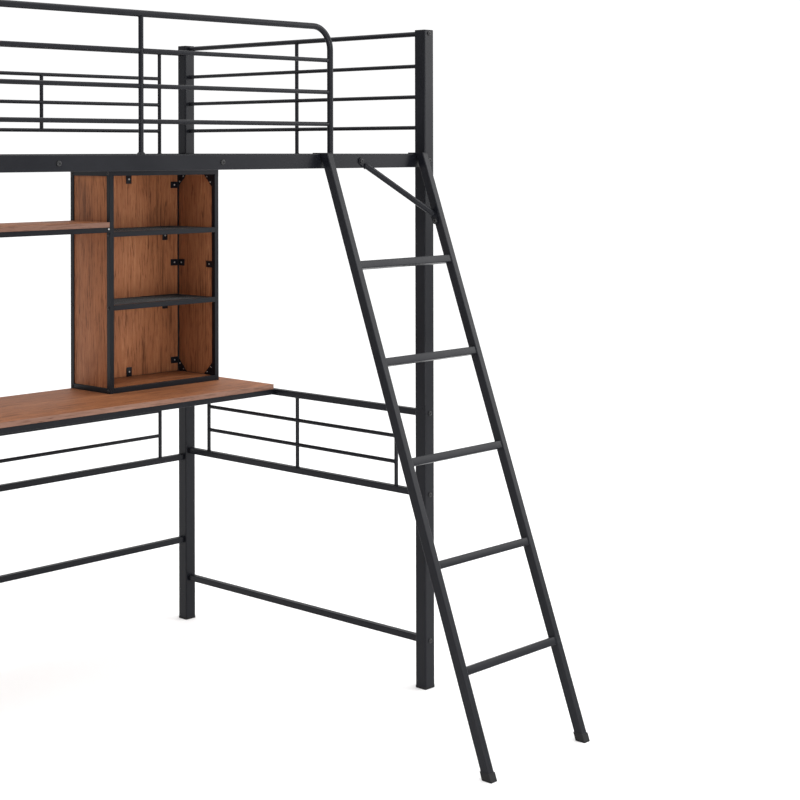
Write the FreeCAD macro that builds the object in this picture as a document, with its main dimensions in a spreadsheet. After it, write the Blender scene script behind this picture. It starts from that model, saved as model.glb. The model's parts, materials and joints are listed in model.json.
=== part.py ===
import FreeCAD, Part
import os
import re

# Metal loft bed with a desk, a bookcase and a shelf under the deck.
# Frame: millimetres, +Z up, origin on the floor under the middle of the whole footprint.
# X runs along the bed (+X is the ladder end), +Y is the side with the desk, -Y the open side.

Vector = FreeCAD.Vector
Rotation = FreeCAD.Rotation
Placement = FreeCAD.Placement

doc = FreeCAD.newDocument("loft_bed_with_desk")
sheet = doc.addObject("Spreadsheet::Sheet", "Sizes")

# ---------------------------------------------------------------- driving dimensions
DIMENSIONS = [
    ("post_pitch_x", 1980, "post centres along the bed"),
    ("post_pitch_y", 1020, "post centres across the bed"),
    ("post_size", 38, "square post, outside"),
    ("post_wall", 1.5, "post and side rail wall"),
    ("post_corner", 4, "rounded edge of a post"),
    ("post_height", 1816, "floor to the top of the post cap"),
    ("cap_head", 2.5, "thickness of the post cap"),
    ("cap_plug", 2.5, "depth of the cap's plug"),
    ("pad_height", 6, "foot pad under a post"),
    ("pad_lip", 0.6, "foot pad beyond the post"),
    ("deck_z", 1456, "centre of the side rails"),
    ("deck_rail_height", 37.5, "side rail and deck end rail height"),
    ("deck_rail_width", 25, "side rail and deck end rail thickness"),
    ("rail_corner", 2, "rounded edge of the rails"),
    ("deck_end_bay", 270, "outermost cross bar from the end posts' centres"),
    ("cross_bar_size", 20, "square cross bar"),
    ("slat_width", 40, "deck slat width"),
    ("slat_thick", 12, "deck slat thickness"),
    ("slat_wall", 1, "deck slat wall"),
    ("slat_socket", 3, "plastic socket wall round a slat's end"),
    ("slat_socket_length", 22, "plastic socket length"),
    ("hoop_d", 16, "front guard hoop tube"),
    ("hoop_z", 1804, "front guard hoop top, centre"),
    ("hoop_inset", 371, "hoop upright from the end posts' centres"),
    ("hoop_bend", 60, "hoop bend radius"),
    ("hoop_mid_d", 12, "hoop's middle upright"),
    ("hoop_rod_z", 1717.7, "front guard's highest rod"),
    ("hoop_rod_pitch", 82.7, "front guard rods"),
    ("rod_d", 11, "guard and panel rods"),
    ("rod_wall", 1, "wall of round tubes"),
    ("end_top_d", 14, "end and rear guard top rail"),
    ("end_top_z", 1806, "end guard top rail, centre"),
    ("end_rod_z", 1716.8, "end guard's highest rod"),
    ("end_rod_pitch", 85.3, "end guard rods"),
    ("rear_top_z", 1791, "rear guard top rail, centre"),
    ("rear_rod_z", 1709, "rear guard's highest rod"),
    ("rear_rod_pitch", 82, "rear guard rods"),
    ("rear_inset", 108, "rear uprights from the posts' centres"),
    ("low_rail", 18, "square rails under the deck"),
    ("low_wall", 1.2, "wall of the small square tubes"),
    ("end_low_top_z", 758, "end panel top rail, centre"),
    ("end_low_bottom_z", 534, "end panel bottom rail, centre"),
    ("end_low_rod_z", 682, "end panel's higher rod"),
    ("end_low_rod_pitch", 72.4, "end panel rods"),
    ("end_inset", 108, "end panel uprights from the posts' centres"),
    ("rear_low_top_z", 746, "rear panel top rail, centre"),
    ("rear_low_bottom_z", 514, "rear panel bottom rail, centre"),
    ("rear_low_rod_z", 669, "rear panel's higher rod"),
    ("rear_low_rod_pitch", 77.5, "rear panel rods"),
    ("end_stretcher_z", 131.5, "low end stretcher, centre"),
    ("rear_stretcher_z", 252, "low rear stretcher, centre"),
    ("board_thick", 15, "desk and shelf boards"),
    ("desk_depth", 385, "desk board, front to back"),
    ("desk_back_gap", 16, "desk board behind to the rear posts"),
    ("desk_end_gap", 3, "desk board to the end panel rail"),
    ("desk_bar", 16, "square bars of the desk frame"),
    ("desk_bar_setback", 2, "desk bar behind the board's edge"),
    ("desk_bar_pitch", 490, "bars across the desk frame"),
    ("case_bar", 15, "square bars of the bookcase and wall shelf"),
    ("case_width", 412, "bookcase width"),
    ("case_depth", 190, "bookcase depth"),
    ("case_inset", 60, "bookcase side from the end posts' centres"),
    ("case_head_gap", 11, "bookcase top to the side rail"),
    ("case_low_share", 0.384, "lower shelf bar's centre, share of the bookcase's height"),
    ("case_high_share", 0.714, "upper shelf bar's centre, share of the bookcase's height"),
    ("panel_thick", 9, "bookcase panels"),
    ("panel_inset", 3, "panel behind the frame's outer face"),
    ("panel_fit", 0.3, "gap round a panel"),
    ("bottom_board", 12, "bookcase top and bottom board"),
    ("mesh_thick", 1.6, "mesh shelf"),
    ("clip_plate", 2, "clips and gussets"),
    ("clip_width", 20, "panel clip width"),
    ("clip_length", 28, "panel clip length"),
    ("clip_offset", 34, "corner clips of the end bays from the frame's end bars"),
    ("gusset_leg", 38, "corner gusset leg"),
    ("wall_shelf_length", 900, "shelf beside the bookcase"),
    ("wall_shelf_lift", 6, "underside of the wall shelf's bars above the upper shelf bar's centre"),
    ("ladder_pitch", 364, "ladder rail centres"),
    ("ladder_inset", 228, "ladder centre from the end posts' centres"),
    ("ladder_width", 20, "ladder rail across the ladder"),
    ("ladder_depth", 25, "ladder rail front to back"),
    ("ladder_corner", 2.5, "rounded edge of the ladder rails"),
    ("ladder_lean", 20.2, "ladder's lean from upright, degrees"),
    ("ladder_cap", 4, "foot cap under a ladder rail"),
    ("ladder_cap_sleeve", 20, "foot cap's height"),
    ("ladder_cap_lip", 1, "foot cap beyond the rail"),
    ("rung_first", 235.7, "lowest rung's centre above the floor"),
    ("rung_pitch", 239, "rungs, measured straight up"),
    ("rung_size", 20, "square rung"),
    ("hook_plate", 3, "hook strap"),
    ("hook_gap", 0.5, "hook's lip above the slat sockets"),
    ("brace_d", 16, "diagonal brace tube"),
    ("brace_plate", 3, "brace's flattened ends"),
    ("brace_tab", 19, "width of the brace's flattened ends"),
    ("brace_drop", 163, "brace's ladder bolt below its rail bolt"),
    ("brace_back", 6, "brace's ladder bolt behind the ladder rail's middle"),
    ("bolt_d", 6, "frame bolts"),
    ("bolt_hole_d", 6.6, "holes for the frame bolts"),
    ("head_d", 13, "button head"),
    ("head_height", 2.8, "button head"),
    ("socket_d", 4.6, "hexagon socket"),
    ("small_head_d", 10, "bookcase bolt head"),
    ("nut_depth", 12, "threaded plug in a rail's end"),
    ("twin_bolt", 11, "side rail end bolts, up and down from the rail's centre"),
    ("twin_inward", 6.5, "side rail end bolts, inward from the rail's middle"),
]
DECK_STEPS = 10         # slats and cross bars share a grid of tenths of a cross bar pitch
DECK_LINES = range(-17, 18, 2)
CROSS_LINES = (-15, -5, 5, 15)
ROD_COUNT = 3
LOW_ROD_COUNT = 2
RUNG_COUNT = 5

for row, (alias, size, note) in enumerate(DIMENSIONS, start=1):
    sheet.set(f"A{row}", note)
    sheet.set(f"B{row}", str(size))
    sheet.setAlias(f"B{row}", alias)
doc.recompute()

# Places that several pieces share, worked out from the sheet.
FORMULAS = {
    "post_x": "post_pitch_x / 2",
    "ladder_top_z": "deck_z + deck_rail_height / 2",
    "ladder_level_depth": "ladder_depth / cos(ladder_lean)",
    "ladder_top_out": "post_size / 2 + ladder_level_depth / 2",
    "ladder_foot_out": "ladder_top_out + ladder_top_z * tan(ladder_lean)",
    "ladder_reach": "ladder_foot_out + ladder_level_depth / 2 + ladder_cap_lip",
    "front_y": "(ladder_reach - post_pitch_y - post_size / 2 - head_height) / 2",
    "rear_y": "front_y + post_pitch_y",
    "mid_y": "front_y + post_pitch_y / 2",
    "tube_top": "post_height - cap_head",
    "inner_x": "post_x - post_size / 2",
    "rail_front_y": "front_y - post_size / 2 + deck_rail_width / 2",
    "rail_rear_y": "rear_y + post_size / 2 - deck_rail_width / 2",
    "twin_front_y": "rail_front_y + twin_inward",
    "twin_rear_y": "rail_rear_y - twin_inward",
    "deck_top": "deck_z + deck_rail_height / 2",
    "cross_bar_pitch": "(post_pitch_x - 2 * deck_end_bay) / 3",
    "hook_lip": "deck_rail_height / 2 - cross_bar_size / 2 - slat_socket - hook_gap",
    "clear_x": "post_pitch_x - post_size",
    "clear_y": "post_pitch_y - post_size",
    "hoop_x": "post_x - hoop_inset",
    "rear_up_x": "post_x - rear_inset",
    "desk_under": "end_low_top_z + low_rail / 2",
    "desk_top": "desk_under + board_thick",
    "desk_back": "rear_y - post_size / 2 - desk_back_gap",
    "desk_front": "desk_back - desk_depth",
    "desk_end_x": "post_x - low_rail / 2 - desk_end_gap",
    "case_right": "post_x - case_inset",
    "case_left": "case_right - case_width",
    "case_mid_x": "case_right - case_width / 2",
    "case_back": "desk_back",
    "case_front": "case_back - case_depth",
    "case_mid_y": "case_back - case_depth / 2",
    "case_top": "deck_z - deck_rail_height / 2 - case_head_gap",
    "case_height": "case_top - desk_top",
    "case_mid_z": "(case_top + desk_top) / 2",
    "case_low_shelf": "case_height * case_low_share",
    "case_high_shelf": "case_height * case_high_share",
    "case_inner_width": "case_width - 2 * case_bar",
    "case_inner_depth": "case_depth - 2 * case_bar",
    "case_inner_height": "case_height - 2 * case_bar",
    "ladder_mid_x": "post_x - ladder_inset",
    "foot_y": "front_y - ladder_foot_out",
    "brace_z": "deck_z - brace_drop",
    "brace_foot_y": "foot_y + brace_z * tan(ladder_lean) + brace_back",
    "rung_length": "ladder_pitch - ladder_width",
}
ALIASES = {alias for alias, size, note in DIMENSIONS}


def formula(text):
    """Turns words of FORMULAS and of the sheet into one expression on the sheet."""
    def swap(match):
        word = match.group(0)
        if word in FORMULAS:
            return "(" + formula(FORMULAS[word]) + ")"
        return "Sizes." + word if word in ALIASES else word
    return re.sub(r"[a-z][a-z_0-9]*", swap, str(text))


def measure(text):
    """The number that a formula gives now."""
    result = sheet.evalExpression(formula(text))
    return float(getattr(result, "Value", result))


def bind(piece, **sizes):
    for prop, text in sizes.items():
        piece.setExpression(prop, formula(text))
    return piece


def place(piece, x, y, z, turn=None):
    """Binds a piece's position; turn is a fixed rotation."""
    if turn is not None:
        piece.Placement = Placement(Vector(), turn)
    for axis, text in zip("xyz", (x, y, z)):
        piece.setExpression(f"Placement.Base.{axis}", formula(text))
    return piece


TURN = {
    "X": Rotation(Vector(0, 1, 0), 90),
    "Y": Rotation(Vector(1, 0, 0), -90),
    "Z": Rotation(),
    "-X": Rotation(Vector(0, 1, 0), -90),
    "-Y": Rotation(Vector(1, 0, 0), 90),
    "-Z": Rotation(Vector(1, 0, 0), 180),
}
LONG_EDGES = {
    "X": ["Edge9", "Edge10", "Edge11", "Edge12"],
    "Y": ["Edge2", "Edge4", "Edge6", "Edge8"],
    "Z": ["Edge1", "Edge3", "Edge5", "Edge7"],
}


def block(name, size, centre):
    """Plain box by its size and centre."""
    box = doc.addObject("Part::Box", name)
    bind(box, Length=size[0], Width=size[1], Height=size[2])
    return place(box, *[f"{c} - ({s}) / 2" for c, s in zip(centre, size)])


def tube(name, run, size, centre, wall, corner, holes=()):
    """Square or oblong tube along one axis, with rounded edges and cross holes.

    Each hole is (axis, offset along X, Y, Z from the tube's centre, diameter).
    Without a wall it is a solid bar.
    """
    body = doc.addObject("PartDesign::Body", name)
    outer = body.newObject("PartDesign::AdditiveBox", name + "_outside")
    bind(outer, Length=size[0], Width=size[1], Height=size[2])
    place(outer, *[f"-({s}) / 2" for s in size])
    doc.recompute([outer])
    edges = body.newObject("PartDesign::Fillet", name + "_edges")
    edges.Base = (outer, LONG_EDGES[run])
    bind(edges, Radius=corner)
    if wall is not None:
        bore = body.newObject("PartDesign::SubtractiveBox", name + "_bore")
        inside = [s if axis == run else f"({s}) - 2 * {wall}" for axis, s in zip("XYZ", size)]
        bind(bore, Length=inside[0], Width=inside[1], Height=inside[2])
        place(bore, *[f"-({s}) / 2" for s in inside])
    for number, (axis, offset, diameter) in enumerate(holes):
        drill = body.newObject("PartDesign::SubtractiveCylinder", f"{name}_hole_{number}")
        across = size["XYZ".index(axis)]
        bind(drill, Radius=f"{diameter} / 2", Height=f"({across}) + 2")
        start = [f"({o})" for o in offset]
        start["XYZ".index(axis)] += f" - ({across}) / 2 - 1"
        place(drill, *start, turn=TURN[axis])
    body.Tip = body.Group[-1]
    return place(body, *centre)


def rod(name, run, diameter, start, length, wall=None):
    """Round bar from a start point along an axis, bored through if it has a wall."""
    bar = doc.addObject("Part::Cylinder", name)
    bind(bar, Radius=f"{diameter} / 2", Height=length)
    place(bar, *start, turn=TURN[run])
    if wall is None:
        return bar
    bore = doc.addObject("Part::Cylinder", name + "_bore")
    bind(bore, Radius=f"{diameter} / 2 - {wall}", Height=length)
    place(bore, *start, turn=TURN[run])
    return cut(name + "_tube", bar, bore)


def cut(name, base, tool):
    piece = doc.addObject("Part::Cut", name)
    piece.Base = base
    piece.Tool = tool
    return piece


def fuse(name, pieces):
    piece = doc.addObject("Part::MultiFuse", name)
    piece.Shapes = pieces
    return piece


def group(name, pieces):
    """Several separate solids that share one node."""
    piece = doc.addObject("Part::Compound", name)
    piece.Links = pieces
    return piece


def coped(name, rods, uprights):
    """Rods whose ends are cut to sit against round uprights."""
    tools = uprights[0] if len(uprights) == 1 else fuse(name + "_cope", uprights)
    return cut(name + "_coped", group(name + "_bars", rods), tools)


nodes = []


def node(piece, name):
    piece.Label = name
    nodes.append(piece)
    return piece


SIDES = (("left", -1), ("right", 1))

# ---------------------------------------------------------------- posts
# Square steel tubes, drilled right through where the rails' bolts pass.
END_BOLT_Z = ["end_top_z", "deck_z", "end_low_top_z", "end_low_bottom_z", "end_stretcher_z"]
TWIN_Z = ["deck_z + twin_bolt", "deck_z - twin_bolt"]
REAR_BOLT_Z = ["rear_top_z", "rear_low_top_z", "rear_low_bottom_z", "rear_stretcher_z"]
POSTS = [("front", "front_y", [], -1), ("rear", "rear_y", REAR_BOLT_Z, 1)]
post_middle = "(tube_top + pad_height) / 2"
for row_name, y, long_bolts, out in POSTS:
    for side, s in SIDES:
        holes = [("Y", ("0", "0", f"{z} - {post_middle}"), "bolt_hole_d") for z in END_BOLT_Z]
        holes += [("X", ("0", "0", f"{z} - {post_middle}"), "bolt_hole_d") for z in long_bolts]
        holes += [("X", ("0", f"twin_{row_name}_y - {y}", f"{z} - {post_middle}"), "bolt_hole_d")
                  for z in TWIN_Z]
        name = f"post_{row_name}_{side}"
        post = tube(name, "Z", ("post_size", "post_size", "tube_top - pad_height"),
                    (f"{s} * post_x", y, post_middle), "post_wall", "post_corner", holes)
        node(post, name)

# A plastic cap plugs each post's top, and a pad stands under its foot.
caps = []
pads = []
for row_name, y, long_bolts, out in POSTS:
    for side, s in SIDES:
        x = f"{s} * post_x"
        tag = f"{row_name}_{side}"
        head = tube("cap_head_" + tag, "Z", ("post_size", "post_size", "cap_head"),
                    (x, y, "tube_top + cap_head / 2"), None, "post_corner")
        plug_size = "post_size - 2 * post_wall"
        inside = block("cap_plug_" + tag, (plug_size, plug_size, "cap_plug"),
                       (x, y, "tube_top - cap_plug / 2"))
        caps.append(fuse("cap_" + tag, [head, inside]))
        pad_size = "post_size + 2 * pad_lip"
        pads.append(tube("pad_" + tag, "Z", (pad_size, pad_size, "pad_height"),
                         (x, y, "pad_height / 2"), None, "post_corner"))
node(group("post_top_caps", caps), "post_top_caps")
node(group("post_foot_pads", pads), "post_foot_pads")

# ---------------------------------------------------------------- deck frame
# Side rails between the posts, drilled for the cross bars' bolts; end rails between the posts.
cross_x = [f"{line} * cross_bar_pitch / {DECK_STEPS}" for line in CROSS_LINES]
for row_name, y in (("front", "rail_front_y"), ("rear", "rail_rear_y")):
    name = f"side_rail_{row_name}"
    holes = [("Y", (x, "0", "0"), "bolt_hole_d") for x in cross_x]
    rail = tube(name, "X", ("clear_x", "deck_rail_width", "deck_rail_height"),
                ("0", y, "deck_z"), "post_wall", "rail_corner", holes)
    node(rail, name)
for side, s in SIDES:
    name = f"deck_end_rail_{side}"
    rail = tube(name, "Y", ("deck_rail_width", "clear_y", "deck_rail_height"),
                (f"{s} * post_x", "mid_y", "deck_z"), "post_wall", "rail_corner")
    node(rail, name)

deck_inner_y = "rail_rear_y - rail_front_y - deck_rail_width"
deck_mid_y = "(rail_front_y + rail_rear_y) / 2"
slat_z = "deck_z + cross_bar_size / 2 - slat_thick / 2"
bars = []
for number, x in enumerate(cross_x):
    bars.append(tube(f"cross_bar_{number}", "Y", ("cross_bar_size", deck_inner_y, "cross_bar_size"),
                     (x, deck_mid_y, "deck_z"), "low_wall", "rail_corner"))
node(group("deck_cross_bars", bars), "deck_cross_bars")

slats = []
sockets = []
for tag, line in enumerate(DECK_LINES):
    if line in CROSS_LINES:
        continue
    x = f"{line} * cross_bar_pitch / {DECK_STEPS}"
    length = f"{deck_inner_y} - 2 * slat_socket"
    slats.append(tube(f"slat_{tag}", "Y", ("slat_width", length, "slat_thick"),
                      (x, deck_mid_y, slat_z), "slat_wall", "slat_thick / 4"))
    for end, s in (("front", -1), ("rear", 1)):
        y = f"{deck_mid_y} + {s} * ({deck_inner_y} - slat_socket_length) / 2"
        sleeve = block(f"socket_{end}_{tag}", ("slat_width + 2 * slat_socket", "slat_socket_length",
                                               "slat_thick + 2 * slat_socket"), (x, y, slat_z))
        hollow = block(f"socket_mouth_{end}_{tag}", ("slat_width", "slat_socket_length",
                                                     "slat_thick"),
                       (x, f"{y} - {s} * slat_socket", slat_z))
        sockets.append(cut(f"slat_socket_{end}_{tag}", sleeve, hollow))
node(group("deck_slats", slats), "deck_slats")
node(group("slat_sockets", sockets), "slat_sockets")

# ---------------------------------------------------------------- front guard
# One bent hoop standing on the front side rail, a middle upright and three rods.
hoop_y = "rail_front_y"
straight_top = "hoop_x - hoop_bend"
leg_top = "hoop_z - hoop_bend"


def hoop(name, diameter):
    parts = [rod(name + "_top", "X", diameter, (f"-({straight_top})", hoop_y, "hoop_z"),
                 f"2 * ({straight_top})")]
    for side, s in SIDES:
        parts.append(rod(f"{name}_leg_{side}", "Z", diameter, (f"{s} * hoop_x", hoop_y, "deck_top"),
                         f"{leg_top} - deck_top"))
        bend = doc.addObject("Part::Torus", f"{name}_bend_{side}")
        bind(bend, Radius1="hoop_bend", Radius2=f"{diameter} / 2")
        bend.Angle3 = 90
        turn = Rotation(Vector(1, 0, 0), 90)
        if s < 0:
            turn = Rotation(Vector(0, 0, 1), 180).multiply(turn)
        place(bend, f"{s} * ({straight_top})", hoop_y, leg_top, turn=turn)
        parts.append(bend)
    return fuse(name, parts)


node(cut("guard_hoop_front", hoop("hoop_outside", "hoop_d"),
         hoop("hoop_inside", "(hoop_d - 2 * rod_wall)")), "guard_hoop_front")

mid_upright = rod("hoop_mid", "Z", "hoop_mid_d", ("0", hoop_y, "deck_top"), "hoop_z - deck_top",
                  "rod_wall")
mid_solid = rod("hoop_mid_solid", "Z", "hoop_mid_d", ("0", hoop_y, "deck_top"), "hoop_z - deck_top")
top_solid = rod("hoop_top_solid", "X", "hoop_d", ("-hoop_x / 2", hoop_y, "hoop_z"), "hoop_x")
leg_solids = [rod(f"hoop_leg_solid_{side}", "Z", "hoop_d", (f"{s} * hoop_x", hoop_y, "deck_top"),
                  "hoop_z - deck_top") for side, s in SIDES]
front_rods = [rod(f"front_rod_{n}", "X", "rod_d",
                  ("-hoop_x", hoop_y, f"hoop_rod_z - {n} * hoop_rod_pitch"), "2 * hoop_x", "rod_wall")
              for n in range(ROD_COUNT)]
node(group("guard_rods_front", [coped("front_rods", front_rods, leg_solids + [mid_solid]),
                                cut("hoop_mid_coped", mid_upright, top_solid)]),
     "guard_rods_front")
collar = doc.addObject("Part::Cone", "collar_outside")
bind(collar, Radius1="hoop_mid_d", Radius2="hoop_mid_d / 2 + rod_wall", Height="hoop_mid_d / 2")
place(collar, "0", hoop_y, "deck_top")
node(cut("guard_foot_collar", collar, mid_solid), "guard_foot_collar")

# ---------------------------------------------------------------- end guards
# Top rail and three rods from post to post, and a middle upright on the deck's end rail.
for side, s in SIDES:
    x = f"{s} * post_x"
    start_y = "front_y + post_size / 2"
    top = rod(f"end_top_{side}", "Y", "end_top_d", (x, start_y, "end_top_z"), "clear_y", "rod_wall")
    node(top, f"guard_top_rail_{side}")
    top_fill = rod(f"end_top_fill_{side}", "Y", "end_top_d", (x, start_y, "end_top_z"), "clear_y")
    up = rod(f"end_up_{side}", "Z", "rod_d", (x, "mid_y", "deck_top"), "end_top_z - deck_top",
             "rod_wall")
    up_fill = rod(f"end_up_fill_{side}", "Z", "rod_d", (x, "mid_y", "deck_top"),
                  "end_top_z - deck_top")
    rods = [rod(f"end_rod_{side}_{n}", "Y", "rod_d", (x, start_y, f"end_rod_z - {n} * end_rod_pitch"),
                "clear_y", "rod_wall") for n in range(ROD_COUNT)]
    node(group(f"guard_rods_{side}", [coped(f"end_rods_{side}", rods, [up_fill]),
                                      cut(f"end_up_coped_{side}", up, top_fill)]),
         f"guard_rods_{side}")

# ---------------------------------------------------------------- rear guard
# Top rail from post to post; rods between two end uprights, with a short upright in each half.
rear_top = ("-inner_x", "rear_y", "rear_top_z")
node(rod("rear_top", "X", "end_top_d", rear_top, "clear_x", "rod_wall"), "guard_top_rail_rear")
rear_top_fill = rod("rear_top_fill", "X", "end_top_d", rear_top, "clear_x")
full_x = ["-(rear_up_x)", "0", "rear_up_x"]
short_x = ["-rear_up_x / 2", "rear_up_x / 2"]
full_height = "rear_top_z - deck_top"
full_ups = [rod(f"rear_up_{n}", "Z", "rod_d", (x, "rear_y", "deck_top"), full_height, "rod_wall")
            for n, x in enumerate(full_x)]
full_fills = [rod(f"rear_up_fill_{n}", "Z", "rod_d", (x, "rear_y", "deck_top"), full_height)
              for n, x in enumerate(full_x)]
short_z = "rear_rod_z - 2 * rear_rod_pitch"
short_ups = [rod(f"rear_short_{n}", "Z", "rod_d", (x, "rear_y", short_z), "2 * rear_rod_pitch",
                 "rod_wall") for n, x in enumerate(short_x)]
short_fills = [rod(f"rear_short_fill_{n}", "Z", "rod_d", (x, "rear_y", short_z),
                   "2 * rear_rod_pitch") for n, x in enumerate(short_x)]
rear_rods = [rod(f"rear_rod_{n}", "X", "rod_d",
                 ("-(rear_up_x)", "rear_y", f"rear_rod_z - {n} * rear_rod_pitch"), "2 * rear_up_x",
                 "rod_wall") for n in range(ROD_COUNT)]
outer_fills = [rod(f"rear_rod_fill_{n}", "X", "rod_d",
                   ("-(rear_up_x)", "rear_y", f"rear_rod_z - {n} * rear_rod_pitch"),
                   "2 * rear_up_x") for n in (0, 2)]
outer_rods = coped("rear_outer", [rear_rods[0], rear_rods[2]], full_fills)
middle_rod = coped("rear_middle", [rear_rods[1]], full_fills + short_fills)
node(group("guard_rods_rear", [outer_rods, middle_rod,
                               coped("rear_full_ups", full_ups, [rear_top_fill]),
                               coped("rear_short_ups", short_ups, outer_fills)]),
     "guard_rods_rear")

# ---------------------------------------------------------------- panels and stretchers below
# Each end: top and bottom rail with two rods and three uprights between, and a low stretcher.
desk_hole_y = ["desk_front + desk_bar_setback + desk_bar / 2",
               "desk_back - desk_bar_setback - desk_bar / 2"]
for side, s in SIDES:
    x = f"{s} * post_x"
    top_holes = [("X", ("0", f"{y} - mid_y", "desk_under - desk_bar / 2 - end_low_top_z"),
                  "bolt_hole_d") for y in desk_hole_y]
    pair = [tube(f"end_low_top_{side}", "Y", ("low_rail", "clear_y", "low_rail"),
                 (x, "mid_y", "end_low_top_z"), "low_wall", "rail_corner", top_holes),
            tube(f"end_low_bottom_{side}", "Y", ("low_rail", "clear_y", "low_rail"),
                 (x, "mid_y", "end_low_bottom_z"), "low_wall", "rail_corner")]
    node(group(f"end_panel_rails_{side}", pair), f"end_panel_rails_{side}")
    low_z = "end_low_bottom_z + low_rail / 2"
    height = "end_low_top_z - end_low_bottom_z - low_rail"
    ends = ["front_y + end_inset", "mid_y", "rear_y - end_inset"]
    ups = [rod(f"end_low_up_{side}_{n}", "Z", "rod_d", (x, y, low_z), height, "rod_wall")
           for n, y in enumerate(ends)]
    fills = [rod(f"end_low_fill_{side}_{n}", "Z", "rod_d", (x, y, low_z), height)
             for n, y in enumerate(ends)]
    rods = [rod(f"end_low_rod_{side}_{n}", "Y", "rod_d",
                (x, ends[0], f"end_low_rod_z - {n} * end_low_rod_pitch"),
                "post_pitch_y - 2 * end_inset", "rod_wall") for n in range(LOW_ROD_COUNT)]
    node(group(f"end_panel_rods_{side}", ups + [coped(f"end_low_{side}", rods, fills)]),
         f"end_panel_rods_{side}")
    stretcher = tube(f"stretcher_{side}", "Y", ("low_rail", "clear_y", "low_rail"),
                     (x, "mid_y", "end_stretcher_z"), "low_wall", "rail_corner")
    node(stretcher, f"stretcher_{side}")

rear_pair = [tube(f"rear_low_{tag}", "X", ("clear_x", "low_rail", "low_rail"),
                  ("0", "rear_y", z), "low_wall", "rail_corner")
             for tag, z in (("top", "rear_low_top_z"), ("bottom", "rear_low_bottom_z"))]
node(group("rear_panel_rails", rear_pair), "rear_panel_rails")
low_z = "rear_low_bottom_z + low_rail / 2"
height = "rear_low_top_z - rear_low_bottom_z - low_rail"
rear_low_ups = [rod(f"rear_low_up_{n}", "Z", "rod_d", (x, "rear_y", low_z), height, "rod_wall")
                for n, x in enumerate(full_x)]
rear_low_fills = [rod(f"rear_low_fill_{n}", "Z", "rod_d", (x, "rear_y", low_z), height)
                  for n, x in enumerate(full_x)]
rear_low_rods = [rod(f"rear_low_rod_{n}", "X", "rod_d",
                     ("-(rear_up_x)", "rear_y", f"rear_low_rod_z - {n} * rear_low_rod_pitch"),
                     "2 * rear_up_x", "rod_wall") for n in range(LOW_ROD_COUNT)]
node(group("rear_panel_rods", rear_low_ups + [coped("rear_low", rear_low_rods, rear_low_fills)]),
     "rear_panel_rods")
node(tube("stretcher_rear", "X", ("clear_x", "low_rail", "low_rail"),
          ("0", "rear_y", "rear_stretcher_z"), "low_wall", "rail_corner"), "stretcher_rear")

# ---------------------------------------------------------------- desk
# Two boards meet in the middle on a frame of square bars bolted to the end panels.
bar_z = "desk_under - desk_bar / 2"
bar_length = "post_pitch_x - low_rail"
desk_bars = [tube(f"desk_bar_{tag}", "X", (bar_length, "desk_bar", "desk_bar"), ("0", y, bar_z),
                  "low_wall", "rail_corner / 2") for tag, y in zip(("front", "rear"), desk_hole_y)]
cross_length = "desk_depth - 2 * desk_bar_setback - 2 * desk_bar"
desk_bars += [tube(f"desk_cross_{n}", "Y", ("desk_bar", cross_length, "desk_bar"),
                   (f"{n} * desk_bar_pitch", "(desk_front + desk_back) / 2", bar_z), "low_wall",
                   "rail_corner / 2") for n in range(-1, 2)]
node(group("desk_frame", desk_bars), "desk_frame")
for side, s in SIDES:
    board = block(f"desk_board_{side}", ("desk_end_x - panel_fit", "desk_depth", "board_thick"),
                  (f"{s} * (desk_end_x + panel_fit) / 2", "desk_back - desk_depth / 2",
                   "desk_top - board_thick / 2"))
    node(board, f"desk_board_{side}")

# ---------------------------------------------------------------- bookcase
# Two side frames of square bars, joined by bars at the top, the bottom and both shelves.
case_side_x = {"left": "case_left + case_bar / 2", "right": "case_right - case_bar / 2"}
case_face_y = {"front": "case_front + case_bar / 2", "rear": "case_back - case_bar / 2"}
case_level = {"bottom": "desk_top + case_bar / 2", "low": "desk_top + case_low_shelf",
              "high": "desk_top + case_high_shelf", "top": "case_top - case_bar / 2"}
SHELVES = ("low", "high")
case_style = ("low_wall", "rail_corner / 2")
for side, x in case_side_x.items():
    holes = [("X", ("0", "0", f"{z} - case_mid_z"), "bolt_hole_d") for z in case_level.values()]
    bars = [tube(f"case_{side}_{face}", "Z", ("case_bar", "case_bar", "case_height"),
                 (x, y, "case_mid_z"), *case_style, holes) for face, y in case_face_y.items()]
    bars += [tube(f"case_{side}_{end}", "Y", ("case_bar", "case_inner_depth", "case_bar"),
                  (x, "case_mid_y", case_level[end]), *case_style) for end in ("bottom", "top")]
    node(group(f"bookcase_frame_{side}", bars), f"bookcase_frame_{side}")
level_bars = {level: [tube(f"case_bar_{level}_{face}", "X",
                           ("case_inner_width", "case_bar", "case_bar"), ("case_mid_x", y, z),
                           *case_style) for face, y in case_face_y.items()]
              for level, z in case_level.items()}
node(group("bookcase_end_bars", level_bars["bottom"] + level_bars["top"]), "bookcase_end_bars")
node(group("bookcase_shelf_bars", level_bars["low"] + level_bars["high"]), "bookcase_shelf_bars")
meshes = [block(f"mesh_{level}", ("case_inner_width", "case_inner_depth", "mesh_thick"),
                ("case_mid_x", "case_mid_y",
                 f"{case_level[level]} + case_bar / 2 - mesh_thick / 2")) for level in SHELVES]
node(group("bookcase_mesh_shelves", meshes), "bookcase_mesh_shelves")

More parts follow.
